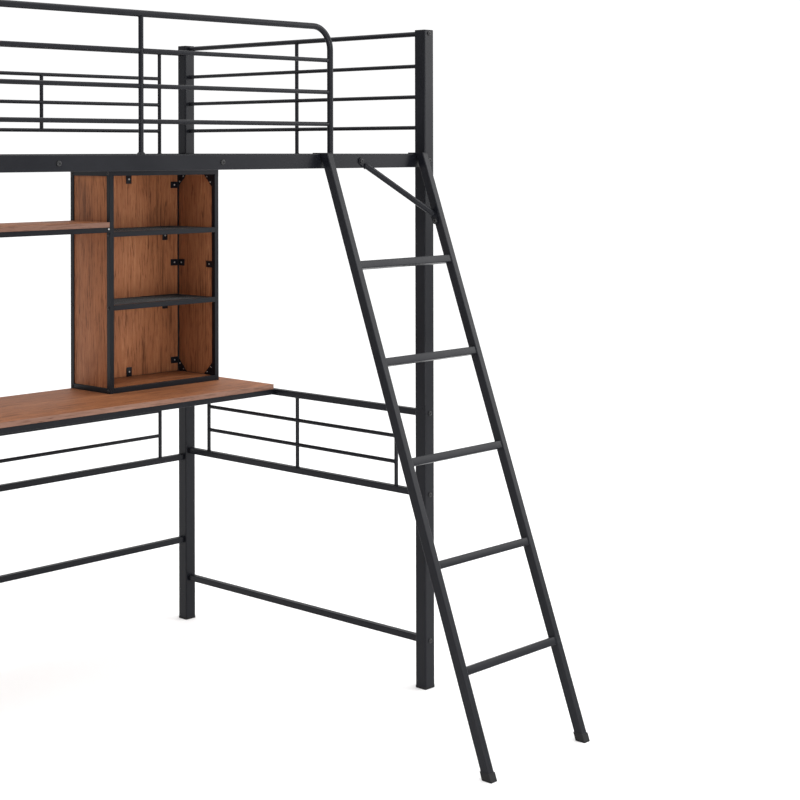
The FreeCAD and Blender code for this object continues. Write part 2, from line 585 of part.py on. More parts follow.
# Wood panels stand between the bars; the back is in three pieces, one for each bay.
for side, s in (("left", 1), ("right", -1)):
    panel = block(f"bookcase_panel_{side}",
                  ("panel_thick", "case_inner_depth - 2 * panel_fit",
                   "case_inner_height - 2 * panel_fit"),
                  (f"case_{side} + {s} * (panel_inset + panel_thick / 2)", "case_mid_y",
                   "case_mid_z"))
    node(panel, f"bookcase_panel_{side}")
back_y = "case_back - panel_inset - panel_thick / 2"
backs = []
bays = list(zip(list(case_level.items()), list(case_level.items())[1:]))
for (lower, low_z), (upper, high_z) in bays:
    backs.append(block(f"back_{lower}", ("case_inner_width - 2 * panel_fit", "panel_thick",
                                         f"({high_z}) - ({low_z}) - case_bar - 2 * panel_fit"),
                       ("case_mid_x", back_y, f"({high_z} + {low_z}) / 2")))
node(group("bookcase_panel_back", backs), "bookcase_panel_back")
for end, z in (("bottom", "desk_top + case_bar - bottom_board / 2"),
               ("top", "case_top - bottom_board / 2")):
    node(block(f"bookcase_board_{end}", ("case_inner_width - 2 * panel_fit",
                                         "case_inner_depth - 2 * panel_fit", "bottom_board"),
               ("case_mid_x", "case_mid_y", z)), f"bookcase_board_{end}")

# Clips hold the panels to the bars, and triangular gussets stiffen the corners of both sides.
clip_y = "case_back - panel_inset - panel_thick - clip_plate / 2"
clips = []
for level, shares, way in (("bottom", (0.5,), 1), ("low", (0.16, 0.84), -1),
                           ("high", (0.16, 0.84), -1), ("top", (0.5,), -1)):
    for n, share in enumerate(shares):
        z = f"{case_level[level]} + {way} * (case_bar + clip_length) / 2"
        clips.append(block(f"clip_{level}_{n}", ("clip_width", "clip_plate", "clip_length"),
                           (f"case_left + {share} * case_width", clip_y, z)))
for side, s in (("left", 1), ("right", -1)):
    panel_x = f"case_{side} + {s} * (panel_inset + panel_thick + clip_plate / 2)"
    back_x = f"case_{side} + {s} * (case_bar + clip_length / 2)"
    middle_z = "(" + case_level["low"] + " + " + case_level["high"] + ") / 2"
    for tag, z in (("bottom", "desk_top + case_bar + clip_offset"), ("middle", middle_z),
                   ("top", "case_top - case_bar - clip_offset")):
        clips.append(block(f"clip_back_{side}_{tag}", ("clip_length", "clip_plate", "clip_width"),
                           (back_x, clip_y, z)))
    for face, y in (("front", "case_front + case_bar + clip_length / 2"),
                    ("rear", "case_back - case_bar - clip_length / 2")):
        clips.append(block(f"clip_side_{side}_{face}", ("clip_plate", "clip_length", "clip_width"),
                           (panel_x, y, middle_z)))
node(group("bookcase_clips", clips), "bookcase_clips")

gussets = []
for side, s in (("left", 1), ("right", -1)):
    x = f"case_{side} + {s} * (panel_inset + panel_thick + clip_plate / 2) - clip_plate / 2"
    for face, y, toward in (("front", "case_front + case_bar", 1),
                            ("rear", "case_back - case_bar", -1)):
        for end, z, up in (("bottom", "desk_top + case_bar", 1), ("top", "case_top - case_bar", -1)):
            wedge = doc.addObject("Part::Wedge", f"gusset_{side}_{face}_{end}")
            bind(wedge, Xmax="gusset_leg", Ymax="gusset_leg", Zmax="clip_plate", Z2max="clip_plate")
            wedge.Xmin = wedge.Ymin = wedge.Zmin = wedge.X2min = wedge.Z2min = 0
            wedge.X2max = 0
            # local X and Y are the two legs, local Z the plate's thickness
            facing = toward * up
            turn = Rotation(Vector(0, toward, 0), Vector(0, 0, up), Vector(facing, 0, 0), "XYZ")
            shift = "0" if facing > 0 else "clip_plate"
            place(wedge, f"{x} + {shift}", y, z, turn=turn)
            gussets.append(wedge)
node(group("bookcase_gussets", gussets), "bookcase_gussets")

# ---------------------------------------------------------------- shelf beside the bookcase
# A board on two square bars, carried by the bookcase and by a stand at its far end.
shelf_mid_x = "case_left - wall_shelf_length / 2"
shelf_z = "desk_top + case_high_shelf + wall_shelf_lift + case_bar / 2"
stand_x = "case_left - wall_shelf_length + case_bar / 2"
node(block("wall_shelf_board", ("wall_shelf_length", "case_depth", "board_thick"),
           (shelf_mid_x, "case_mid_y", f"{shelf_z} + case_bar / 2 + board_thick / 2")),
     "wall_shelf_board")
shelf_bars = [tube(f"wall_shelf_{face}", "X", ("wall_shelf_length", "case_bar", "case_bar"),
                   (shelf_mid_x, y, shelf_z), *case_style) for face, y in case_face_y.items()]
leg_height = f"{shelf_z} - case_bar / 2 - desk_top"
for face, y in case_face_y.items():
    shelf_bars.append(tube(f"stand_leg_{face}", "Z", ("case_bar", "case_bar", leg_height),
                           (stand_x, y, f"desk_top + ({leg_height}) / 2"), *case_style))
for tag, z in (("foot", "desk_top + case_bar / 2"), ("head", shelf_z)):
    shelf_bars.append(tube(f"stand_bar_{tag}", "Y", ("case_bar", "case_inner_depth", "case_bar"),
                           (stand_x, "case_mid_y", z), *case_style))
node(group("wall_shelf_frame", shelf_bars), "wall_shelf_frame")

# ---------------------------------------------------------------- ladder
# Two leaning rails cut level at the floor and at the deck, five rungs, hooks and foot caps.
LEAN = Rotation(Vector(-1, 0, 0), 20)


def leaning(name, width, depth, length, x, back, along):
    """Box leaning with the ladder; back and along place its low front corner from the foot."""
    box = doc.addObject("Part::Box", name)
    bind(box, Length=width, Width=depth, Height=length)
    place(box, f"{x} - ({width}) / 2",
          f"foot_y + ({back}) * cos(ladder_lean) + ({along}) * sin(ladder_lean)",
          f"({along}) * cos(ladder_lean) - ({back}) * sin(ladder_lean)", turn=LEAN)
    box.setExpression("Placement.Rotation.Angle", formula("ladder_lean"))
    return box


def slab(name, x, width, low, high):
    return block(name, (width, "2 * ladder_reach", f"({high}) - ({low})"),
                 (x, "front_y", f"({high} + {low}) / 2"))


def common(name, base, tool):
    piece = doc.addObject("Part::Common", name)
    piece.Base = base
    piece.Tool = tool
    return piece


SPARE = "ladder_depth"
slope_length = f"ladder_top_z / cos(ladder_lean) + 2 * {SPARE}"
caps = []
for side, s in SIDES:
    x = f"ladder_mid_x + {s} * ladder_pitch / 2"
    outside = leaning(f"ladder_outside_{side}", "ladder_width", "ladder_depth", slope_length, x,
                      "-ladder_depth / 2", f"-{SPARE}")
    rounded = doc.addObject("Part::Fillet", f"ladder_rounded_{side}")
    rounded.Base = outside
    rounded.Edges = [(number, measure("ladder_corner"), measure("ladder_corner"))
                     for number in (1, 3, 5, 7)]
    inside = leaning(f"ladder_inside_{side}", "ladder_width - 2 * low_wall",
                     "ladder_depth - 2 * low_wall", slope_length, x,
                     "low_wall - ladder_depth / 2", f"-{SPARE}")
    level = slab(f"ladder_level_{side}", x, "2 * ladder_width", "ladder_cap", "ladder_top_z")
    rail = common(f"ladder_level_rail_{side}", cut(f"ladder_hollow_{side}", rounded, inside), level)
    if side == "right":
        drill = rod("ladder_bolt_hole", "X", "bolt_hole_d",
                    (f"{x} - ladder_width", "brace_foot_y", "brace_z"), "2 * ladder_width")
        rail = cut("ladder_drilled_rail", rail, drill)
    node(rail, f"ladder_rail_{side}")
    rail_solid = common(f"ladder_solid_{side}", rounded,
                        slab(f"ladder_full_level_{side}", x, "2 * ladder_width", "ladder_cap",
                             "ladder_top_z"))
    sleeve = leaning(f"ladder_sleeve_{side}", "ladder_width + 2 * ladder_cap_lip",
                     "ladder_depth + 2 * ladder_cap_lip * cos(ladder_lean)", slope_length, x,
                     "-ladder_depth / 2 - ladder_cap_lip * cos(ladder_lean)", f"-{SPARE}")
    foot = common(f"ladder_foot_{side}", sleeve,
                  slab(f"ladder_foot_level_{side}", x, "2 * ladder_width", "0",
                       "ladder_cap_sleeve"))
    caps.append(cut(f"ladder_cap_{side}", foot, rail_solid))
node(group("ladder_foot_caps", caps), "ladder_foot_caps")

rungs = []
for n in range(RUNG_COUNT):
    along = f"(rung_first + {n} * rung_pitch) / cos(ladder_lean) - rung_size / 2"
    rungs.append(leaning(f"rung_{n}", "rung_length", "rung_size", "rung_size", "ladder_mid_x",
                         "-rung_size / 2", along))
node(group("ladder_rungs", rungs), "ladder_rungs")

hooks = []
for side, s in SIDES:
    x = f"ladder_mid_x + {s} * ladder_pitch / 2"
    front = "front_y - ladder_top_out - ladder_level_depth / 2"
    back = "rail_front_y + deck_rail_width / 2 + hook_plate"
    strap = block(f"hook_strap_{side}", ("ladder_width", f"{back} - ({front})", "hook_plate"),
                  (x, f"({back} + {front}) / 2", "deck_top + hook_plate / 2"))
    lip = block(f"hook_lip_{side}", ("ladder_width", "hook_plate", "hook_lip"),
                (x, f"{back} - hook_plate / 2", "deck_top - hook_lip / 2"))
    hooks.append(fuse(f"ladder_hook_{side}", [strap, lip]))
node(group("ladder_hooks", hooks), "ladder_hooks")

# The brace is a tube with flattened ends, from the front side rail to the ladder's right rail.
rail_bolt = Vector(measure(cross_x[-1]), measure("front_y - post_size / 2"), measure("deck_z"))
ladder_bolt = Vector(measure("ladder_mid_x + ladder_pitch / 2 - ladder_width / 2"),
                     measure("brace_foot_y"), measure("brace_z"))
plate = measure("brace_plate")
half = measure("brace_d / 2")
tab = measure("brace_tab / 2")
span = Vector(ladder_bolt - rail_bolt).normalize()


def flat_end(point, outward, toward):
    """Rounded plate on a face, drilled at the bolt; returns it with the end of its tongue."""
    across = outward.cross(toward).normalize()
    tongue = across.cross(outward) * 3 * half
    corners = [point - across * tab, point + across * tab,
               point + across * tab + tongue, point - across * tab + tongue]
    strip = Part.Face(Part.makePolygon(corners + corners[:1])).extrude(outward * plate)
    disc = Part.makeCylinder(tab, plate, point, outward)
    hole = Part.makeCylinder(measure("bolt_hole_d / 2"), plate, point, outward)
    return disc.fuse(strip).cut(hole), point + tongue * 0.9 + outward * plate


rail_tab, tube_start = flat_end(rail_bolt, Vector(0, -1, 0), span)
ladder_tab, tube_finish = flat_end(ladder_bolt, Vector(-1, 0, 0), -span)
middle = tube_finish - tube_start
room = 12 * half
bar = Part.makeCylinder(half, middle.Length, tube_start, middle)
bar = bar.fuse([Part.makeSphere(half, tube_start), Part.makeSphere(half, tube_finish)])
behind_rail = Part.makeBox(2 * room, room, 2 * room, rail_bolt - Vector(room, 0, room))
behind_ladder = Part.makeBox(room, 2 * room, 2 * room, ladder_bolt - Vector(0, room, room))
bar = bar.cut(behind_rail.fuse(behind_ladder))
brace = doc.addObject("Part::Feature", "ladder_brace")
brace.Shape = bar.fuse([rail_tab, ladder_tab]).removeSplitter()
node(brace, "ladder_brace")

# ---------------------------------------------------------------- bolts and threaded plugs
def bolt(name, out, head_at, reach, head="head_d"):
    """Button head bolt: out is the way its head faces, head_at the point under the head."""
    dome = doc.addObject("Part::Cone", name + "_dome")
    bind(dome, Radius1=f"{head} / 2", Radius2=f"{head} / 3", Height="head_height")
    shank = doc.addObject("Part::Cylinder", name + "_shank")
    bind(shank, Radius="bolt_d / 2", Height=reach)
    place(shank, "0", "0", f"-({reach})")
    socket = doc.addObject("Part::Prism", name + "_socket")
    socket.Polygon = 6
    bind(socket, Circumradius="socket_d / 2", Height="head_height")
    place(socket, "0", "0", "head_height / 3")
    whole = cut(name, fuse(name + "_solid", [dome, shank]), socket)
    return place(whole, *head_at, turn=TURN[out])


through = "post_size + nut_depth"
post_bolts = []
plugs = []


def plug(name, run, size, centre):
    """Threaded plug that fills the end of a square tube."""
    core = block(name + "_core", size, centre)
    index = "XYZ".index(run)
    start = list(centre)
    start[index] += f" - ({size[index]}) / 2"
    return cut(name, core, rod(name + "_thread", run, "bolt_d", start, size[index]))


small_core = "low_rail - 2 * low_wall"
round_core = "(end_top_d - 2 * rod_wall)"
big_core_z = "deck_rail_height - 2 * post_wall"
big_core_w = "deck_rail_width - 2 * post_wall"
for row_name, y, x_bolt_z, out in POSTS:
    face_y = f"{y} + {out} * post_size / 2"
    plug_y = f"{y} - {out} * (post_size + nut_depth) / 2"
    for side, s in SIDES:
        x = f"{s} * post_x"
        for n, z in enumerate(END_BOLT_Z):
            tag = f"end_{row_name}_{side}_{n}"
            post_bolts.append(bolt("bolt_" + tag, "Y" if out > 0 else "-Y", (x, face_y, z), through))
            if z == "end_top_z":
                core = rod("plug_core_" + tag, "Y", round_core,
                           (x, f"{plug_y} - nut_depth / 2", z), "nut_depth")
                thread = rod("plug_thread_" + tag, "Y", "bolt_d",
                             (x, f"{plug_y} - nut_depth / 2", z), "nut_depth")
                plugs.append(cut("plug_" + tag, core, thread))
            elif z == "deck_z":
                plugs.append(plug("plug_" + tag, "Y", (big_core_w, "nut_depth", big_core_z),
                                  (x, plug_y, z)))
            else:
                plugs.append(plug("plug_" + tag, "Y", (small_core, "nut_depth", small_core),
                                  (x, plug_y, z)))
        plug_x = f"{s} * (post_x - (post_size + nut_depth) / 2)"
        outside = ("X" if s > 0 else "-X", f"{s} * (post_x + post_size / 2)")
        for n, z in enumerate(TWIN_Z):
            post_bolts.append(bolt(f"bolt_twin_{row_name}_{side}_{n}", outside[0],
                                   (outside[1], f"twin_{row_name}_y", z), through))
        for n, z in enumerate(x_bolt_z):
            tag = f"long_{row_name}_{side}_{n}"
            post_bolts.append(bolt("bolt_" + tag, outside[0], (outside[1], y, z), through))
            if z == "rear_top_z":
                core = rod("plug_core_" + tag, "X", round_core,
                           (f"{plug_x} - nut_depth / 2", y, z), "nut_depth")
                thread = rod("plug_thread_" + tag, "X", "bolt_d",
                             (f"{plug_x} - nut_depth / 2", y, z), "nut_depth")
                plugs.append(cut("plug_" + tag, core, thread))
            else:
                plugs.append(plug("plug_" + tag, "X", ("nut_depth", small_core, small_core),
                                  (plug_x, y, z)))
        rail_y = f"rail_{row_name}_y"
        core = block(f"plug_deck_core_{row_name}_{side}", ("nut_depth", big_core_w, big_core_z),
                     (plug_x, rail_y, "deck_z"))
        threads = fuse(f"plug_deck_threads_{row_name}_{side}",
                       [rod(f"plug_deck_thread_{row_name}_{side}_{n}", "X", "bolt_d",
                            (f"{plug_x} - nut_depth / 2", f"twin_{row_name}_y", z), "nut_depth")
                        for n, z in enumerate(TWIN_Z)])
        plugs.append(cut(f"plug_deck_{row_name}_{side}", core, threads))
node(group("post_bolts", post_bolts), "post_bolts")

rail_bolts = []
for row_name, out, face in (("front", "-Y", "front_y - post_size / 2"),
                            ("rear", "Y", "rear_y + post_size / 2")):
    s = -1 if row_name == "front" else 1
    for n, x in enumerate(cross_x):
        under_brace = row_name == "front" and x == cross_x[-1]
        lift = f"{s} * brace_plate" if under_brace else "0"
        reach = "deck_rail_width + nut_depth" + (" + brace_plate" if under_brace else "")
        rail_bolts.append(bolt(f"bolt_deck_{row_name}_{n}", out, (x, f"{face} + {lift}", "deck_z"),
                               reach))
        plugs.append(plug(f"plug_cross_{row_name}_{n}", "Y",
                          ("cross_bar_size - 2 * low_wall", "nut_depth",
                           "cross_bar_size - 2 * low_wall"),
                          (x, f"{face} - {s} * (deck_rail_width + nut_depth / 2)", "deck_z")))
for side, s in SIDES:
    for n, y in enumerate(desk_hole_y):
        rail_bolts.append(bolt(f"bolt_desk_{side}_{n}", "X" if s > 0 else "-X",
                               (f"{s} * (post_x + low_rail / 2)", y, bar_z),
                               "low_rail + nut_depth"))
        plugs.append(plug(f"plug_desk_{side}_{n}", "X",
                          ("nut_depth", "desk_bar - 2 * low_wall", "desk_bar - 2 * low_wall"),
                          (f"{s} * (post_x - low_rail / 2 - nut_depth / 2)", y, bar_z)))
ladder_face = "ladder_mid_x + ladder_pitch / 2 - ladder_width / 2 - brace_plate"
rail_bolts.append(bolt("bolt_brace", "-X", (ladder_face, "brace_foot_y", "brace_z"),
                       "brace_plate + ladder_width"))
node(group("rail_bolts", rail_bolts), "rail_bolts")

case_core = "case_bar - 2 * low_wall"
case_bolts = []
for side, s in (("left", -1), ("right", 1)):
    for face, y in case_face_y.items():
        for level, z in case_level.items():
            case_bolts.append(bolt(f"bolt_case_{side}_{face}_{level}", "X" if s > 0 else "-X",
                                   (f"case_{side}", y, z), "case_bar + nut_depth", "small_head_d"))
            plugs.append(plug(f"plug_case_{side}_{face}_{level}", "X",
                              ("nut_depth", case_core, case_core),
                              (f"case_{side} - {s} * (case_bar + nut_depth / 2)", y, z)))
node(group("threaded_plugs", plugs), "threaded_plugs")
node(group("bookcase_bolts", case_bolts), "bookcase_bolts")

# ---------------------------------------------------------------- check and write
doc.recompute()
for piece in doc.Objects:
    if {"Invalid", "Error"} & set(piece.State):
        raise RuntimeError(f"{piece.Name} did not build: {piece.State}")
os.makedirs("parts", exist_ok=True)
for piece in nodes:
    if piece.Shape.isNull() or not piece.Shape.isValid():
        raise RuntimeError(f"{piece.Label} has no valid shape")
    piece.Shape.exportStep(f"parts/{piece.Label}.step")
print(len(nodes), "sub-parts written")
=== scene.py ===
import json
import math
import bmesh
import bpy
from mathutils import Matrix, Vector


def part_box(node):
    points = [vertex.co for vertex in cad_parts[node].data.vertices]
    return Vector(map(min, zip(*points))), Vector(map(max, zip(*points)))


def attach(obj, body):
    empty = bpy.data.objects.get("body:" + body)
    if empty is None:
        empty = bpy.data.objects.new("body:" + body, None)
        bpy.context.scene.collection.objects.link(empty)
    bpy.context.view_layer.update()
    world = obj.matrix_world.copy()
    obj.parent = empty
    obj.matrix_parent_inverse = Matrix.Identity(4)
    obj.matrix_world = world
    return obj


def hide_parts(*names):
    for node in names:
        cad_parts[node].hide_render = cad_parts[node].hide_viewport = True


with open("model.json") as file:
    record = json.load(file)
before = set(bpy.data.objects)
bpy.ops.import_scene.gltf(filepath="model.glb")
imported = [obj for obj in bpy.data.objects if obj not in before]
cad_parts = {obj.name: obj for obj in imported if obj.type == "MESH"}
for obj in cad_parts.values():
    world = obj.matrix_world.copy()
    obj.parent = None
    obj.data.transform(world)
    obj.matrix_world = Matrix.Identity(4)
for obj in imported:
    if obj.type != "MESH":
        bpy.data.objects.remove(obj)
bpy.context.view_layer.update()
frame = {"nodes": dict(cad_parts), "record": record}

nodes = frame["nodes"]
MM = 0.001

# ---------------------------------------------------------------- shader groups
# Effects that several finishes share. Each is built once, with its own named sockets.


def open_group(name, inputs, outputs):
    """A shader group with sockets of (name, kind, default), and its two end nodes."""
    tree = bpy.data.node_groups.new(name, "ShaderNodeTree")
    for label, kind, value in inputs:
        socket = tree.interface.new_socket(label, in_out="INPUT", socket_type=kind)
        if value is not None:
            socket.default_value = value
    for label, kind in outputs:
        tree.interface.new_socket(label, in_out="OUTPUT", socket_type=kind)
    entry = tree.nodes.new("NodeGroupInput")
    leave = tree.nodes.new("NodeGroupOutput")
    return tree, entry.outputs, leave.inputs


def add(tree, kind, inputs=None, **settings):
    """One node: settings are its properties, inputs its sockets' values or links."""
    node = tree.nodes.new(kind)
    for label, value in settings.items():
        setattr(node, label, value)
    for label, value in (inputs or {}).items():
        socket = node.inputs[label]
        if isinstance(value, bpy.types.NodeSocket):
            tree.links.new(value, socket)
        else:
            socket.default_value = value
    return node


def ramp(tree, factor, stops, smooth="LINEAR"):
    """A colour ramp with stops of (place, colour)."""
    node = add(tree, "ShaderNodeValToRGB", {"Fac": factor})
    node.color_ramp.interpolation = smooth
    while len(node.color_ramp.elements) < len(stops):
        node.color_ramp.elements.new(0.5)
    for element, (place, colour) in zip(node.color_ramp.elements, stops):
        element.position = place
        element.color = colour
    return node.outputs["Color"]


def grey(value):
    return (value, value, value, 1)


def mix(tree, factor, first, second, blend="MIX"):
    """Colour mix; every argument may be a value or a link."""
    node = add(tree, "ShaderNodeMix", data_type="RGBA", blend_type=blend)
    sockets = (node.inputs[0], node.inputs[6], node.inputs[7])
    for socket, value in zip(sockets, (factor, first, second)):
        if isinstance(value, bpy.types.NodeSocket):
            tree.links.new(value, socket)
        else:
            socket.default_value = value
    return node.outputs[2]


def calc(tree, operation, first, second=0.5):
    node = add(tree, "ShaderNodeMath", {0: first, 1: second}, operation=operation)
    return node.outputs[0]


def coat_group():
    """Powder coat and moulded plastic: orange peel, cloudy tone and dust on what faces up."""
    tree, given, out = open_group(
        "coat_skin",
        [("Vector", "NodeSocketVector", None), ("Peel Scale", "NodeSocketFloat", 900.0),
         ("Cloud Scale", "NodeSocketFloat", 7.0), ("Colour", "NodeSocketColor", grey(0.02)),
         ("Worn Colour", "NodeSocketColor", grey(0.05)), ("Roughness", "NodeSocketFloat", 0.4)],
        [("Colour", "NodeSocketColor"), ("Roughness", "NodeSocketFloat"),
         ("Height", "NodeSocketFloat")])
    peel = add(tree, "ShaderNodeTexNoise", {"Vector": given["Vector"], "Scale": given["Peel Scale"],
                                            "Detail": 2.0})
    cloud = add(tree, "ShaderNodeTexNoise", {"Vector": given["Vector"],
                                             "Scale": given["Cloud Scale"],
                                             "Detail": 5.0, "Roughness": 0.65})
    speck = add(tree, "ShaderNodeTexNoise", {"Vector": given["Vector"], "Scale": 260.0,
                                             "Detail": 3.0, "Roughness": 0.7})
    normal = add(tree, "ShaderNodeNewGeometry").outputs["Normal"]
    up = add(tree, "ShaderNodeSeparateXYZ", {"Vector": normal}).outputs["Z"]
    facing = add(tree, "ShaderNodeMapRange", {"Value": up, "From Min": 0.2, "From Max": 1.0})
    grains = ramp(tree, speck.outputs["Fac"], [(0.5, grey(0)), (0.72, grey(1))])
    dust = calc(tree, "MULTIPLY", facing.outputs["Result"], grains)
    tone = ramp(tree, cloud.outputs["Fac"], [(0.3, grey(0)), (0.75, grey(1))], "EASE")
    worn = calc(tree, "MULTIPLY_ADD", tone, 0.35)
    worn.node.inputs[2].default_value = 0.0
    worn = calc(tree, "ADD", worn, calc(tree, "MULTIPLY", dust, 0.5))
    tree.links.new(mix(tree, worn, given["Colour"], given["Worn Colour"]), out["Colour"])
    cloudy = calc(tree, "MULTIPLY", calc(tree, "SUBTRACT", cloud.outputs["Fac"], 0.5), 0.3)
    rough = calc(tree, "ADD", given["Roughness"], calc(tree, "ADD", cloudy,
                                                      calc(tree, "MULTIPLY", dust, 0.25)))
    tree.links.new(rough, out["Roughness"])
    tree.links.new(peel.outputs["Fac"], out["Height"])
    return tree


def grain_group():
    """Wood figure along the vector's X: broad bands, fibres, dark pores, streaks and knots."""
    tree, given, out = open_group(
        "wood_figure",
        [("Vector", "NodeSocketVector", None), ("Dark", "NodeSocketColor", grey(0.1)),
         ("Middle", "NodeSocketColor", grey(0.2)), ("Light", "NodeSocketColor", grey(0.3))],
        [("Colour", "NodeSocketColor"), ("Roughness", "NodeSocketFloat"),
         ("Height", "NodeSocketFloat")])

    def stretched(along, across):
        return add(tree, "ShaderNodeMapping", {"Vector": given["Vector"],
                                               "Scale": (along, across, across)}).outputs[0]

    wander = add(tree, "ShaderNodeTexNoise", {"Vector": stretched(1.6, 5.0), "Scale": 1.0,
                                              "Detail": 2.0})
    bent = add(tree, "ShaderNodeVectorMath", {0: wander.outputs["Color"], 1: (0.5, 0.5, 0.5)},
               operation="SUBTRACT")
    bent = add(tree, "ShaderNodeVectorMath", {0: bent.outputs[0], "Scale": 1.1}, operation="SCALE")

    def figure(along, across, detail, roughness=0.6, bend=1.0):
        turned = add(tree, "ShaderNodeVectorMath", {0: bent.outputs[0], "Scale": bend},
                     operation="SCALE")
        place = add(tree, "ShaderNodeVectorMath", {0: stretched(along, across),
                                                   1: turned.outputs[0]})
        return add(tree, "ShaderNodeTexNoise", {"Vector": place.outputs[0], "Scale": 1.0,
                                                "Detail": detail, "Roughness": roughness,
                                                "Distortion": 0.4}).outputs["Fac"]

    broad = ramp(tree, figure(2.2, 8, 3, 0.55, 1.4), [(0.36, grey(0)), (0.64, grey(1))], "EASE")
    bands = figure(5, 120, 5, 0.7, 0.6)
    fibres = figure(14, 420, 3, 0.7)
    pores = ramp(tree, figure(24, 520, 2, 0.6), [(0.57, grey(0)), (0.66, grey(1))])
    flecks = ramp(tree, figure(12, 210, 2, 0.55, 0.5), [(0.6, grey(0)), (0.67, grey(1))])
    streaks = ramp(tree, figure(3.5, 70, 4, 0.65, 0.8), [(0.57, grey(0)), (0.72, grey(1))], "EASE")

    level = calc(tree, "ADD", calc(tree, "MULTIPLY", broad, 0.2),
                 calc(tree, "ADD", calc(tree, "MULTIPLY", bands, 0.85),
                      calc(tree, "MULTIPLY", fibres, 0.5)))
    level = add(tree, "ShaderNodeMapRange", {"Value": level, "From Min": 0.46, "From Max": 1.12})
    warm = mix(tree, ramp(tree, level.outputs[0], [(0.0, grey(0)), (0.45, grey(1))], "EASE"),
               given["Dark"], given["Middle"])
    warm = mix(tree, ramp(tree, level.outputs[0], [(0.5, grey(0)), (1.0, grey(1))], "EASE"),
               warm, given["Light"])
    warm = mix(tree, calc(tree, "MULTIPLY", streaks, 0.5), warm, given["Dark"])
    warm = mix(tree, calc(tree, "MULTIPLY", flecks, 0.75), warm, given["Dark"])
    warm = mix(tree, calc(tree, "MULTIPLY", pores, 0.7), warm, (0.3, 0.25, 0.22, 1), "MULTIPLY")

    spots = add(tree, "ShaderNodeTexVoronoi", {"Vector": stretched(3.4, 9.0), "Scale": 1.0})
    rare = ramp(tree, add(tree, "ShaderNodeSeparateColor", {"Color": spots.outputs["Color"]})
                .outputs["Red"], [(0.6, grey(0)), (0.62, grey(1))], "CONSTANT")
    knot = ramp(tree, spots.outputs["Distance"], [(0.03, grey(1)), (0.12, grey(0))], "EASE")
    knot = calc(tree, "MULTIPLY", knot, rare)
    warm = mix(tree, calc(tree, "MULTIPLY", knot, 0.85), warm, given["Dark"])
    tree.links.new(warm, out["Colour"])
    shine = add(tree, "ShaderNodeMapRange", {"Value": fibres, "To Min": 0.46, "To Max": 0.64})
    tree.links.new(shine.outputs[0], out["Roughness"])
    relief = calc(tree, "SUBTRACT", fibres, calc(tree, "MULTIPLY", pores, 0.8))
    tree.links.new(relief, out["Height"])
    return tree


coat_skin = coat_group()
wood_figure = grain_group()

# ---------------------------------------------------------------- finishes
# Satin near-black powder coat, matt plastic, black bolts, zinc screws and brown wood laminate.


def start_material(name):
    paint = bpy.data.materials.new(name)
    paint.use_nodes = True
    tree = paint.node_tree
    return paint, tree, tree.nodes["Principled BSDF"]


def object_place(tree, turn=(0, 0, 0), shift=(0, 0, 0)):
    spot = add(tree, "ShaderNodeTexCoord").outputs["Object"]
    return add(tree, "ShaderNodeMapping", {"Vector": spot, "Rotation": turn,
                                           "Location": shift}).outputs[0]


def coated(name, colour, worn, roughness, peel_scale, peel_depth, **surface):
    """A coated or moulded finish from the coat group."""
    paint, tree, shader = start_material(name)
    skin = add(tree, "ShaderNodeGroup", node_tree=coat_skin)
    tree.links.new(object_place(tree), skin.inputs["Vector"])
    skin.inputs["Colour"].default_value = colour
    skin.inputs["Worn Colour"].default_value = worn
    skin.inputs["Roughness"].default_value = roughness
    skin.inputs["Peel Scale"].default_value = peel_scale
    bump = add(tree, "ShaderNodeBump", {"Height": skin.outputs["Height"], "Strength": 0.35,
                                        "Distance": peel_depth})
    tree.links.new(skin.outputs["Colour"], shader.inputs["Base Color"])
    tree.links.new(skin.outputs["Roughness"], shader.inputs["Roughness"])
    tree.links.new(bump.outputs["Normal"], shader.inputs["Normal"])
    for label, value in surface.items():
        shader.inputs[label.replace("_", " ")].default_value = value
    return paint


def wooden(name, dark, middle, light, turn=(0, 0, 0), shift=(0, 0, 0)):
    """Wood laminate whose grain runs along X, unless it is turned."""
    paint, tree, shader = start_material(name)
    figure = add(tree, "ShaderNodeGroup", node_tree=wood_figure)
    tree.links.new(object_place(tree, turn, shift), figure.inputs["Vector"])
    for label, colour in (("Dark", dark), ("Middle", middle), ("Light", light)):
        figure.inputs[label].default_value = colour
    bump = add(tree, "ShaderNodeBump", {"Height": figure.outputs["Height"], "Strength": 0.25,
                                        "Distance": 0.0003})
    tree.links.new(figure.outputs["Colour"], shader.inputs["Base Color"])
    tree.links.new(figure.outputs["Roughness"], shader.inputs["Roughness"])
    tree.links.new(bump.outputs["Normal"], shader.inputs["Normal"])
    shader.inputs["Specular IOR Level"].default_value = 0.16
    return paint


UPRIGHT = (0, math.pi / 2, 0)
steel = coated("powder_coated_steel", (0.0050, 0.0054, 0.0076, 1), (0.010, 0.0105, 0.014, 1), 0.33,
               1100, 0.00006, Specular_IOR_Level=0.16)
plastic = coated("moulded_black_plastic", (0.007, 0.007, 0.0075, 1), (0.016, 0.016, 0.017, 1), 0.6,
                 600, 0.00005, Specular_IOR_Level=0.2)
black_bolt = coated("black_oxide_bolt", (0.012, 0.012, 0.013, 1), (0.05, 0.05, 0.052, 1), 0.36,
                    1500, 0.00003, Metallic=0.4)
zinc = coated("zinc_screw", (0.5, 0.5, 0.49, 1), (0.34, 0.34, 0.33, 1), 0.3, 1500, 0.00003,
              Metallic=1.0)
wire_coat = coated("coated_wire", (0.009, 0.009, 0.0095, 1), (0.03, 0.03, 0.031, 1), 0.45, 1300,
                   0.00003, Specular_IOR_Level=0.4)
# The panel copy keeps the board's dark tone, but its middle and light tones are paler. That is
# painted light: it lifts the upright panels, which stand in shade inside the bookcase. Its upright
# grain is real.
panel_wood_painted_light = wooden("wood_panel_upright_painted_light", (0.085, 0.030, 0.013, 1), (0.315, 0.122, 0.054, 1),
                    (0.480, 0.205, 0.098, 1), UPRIGHT)
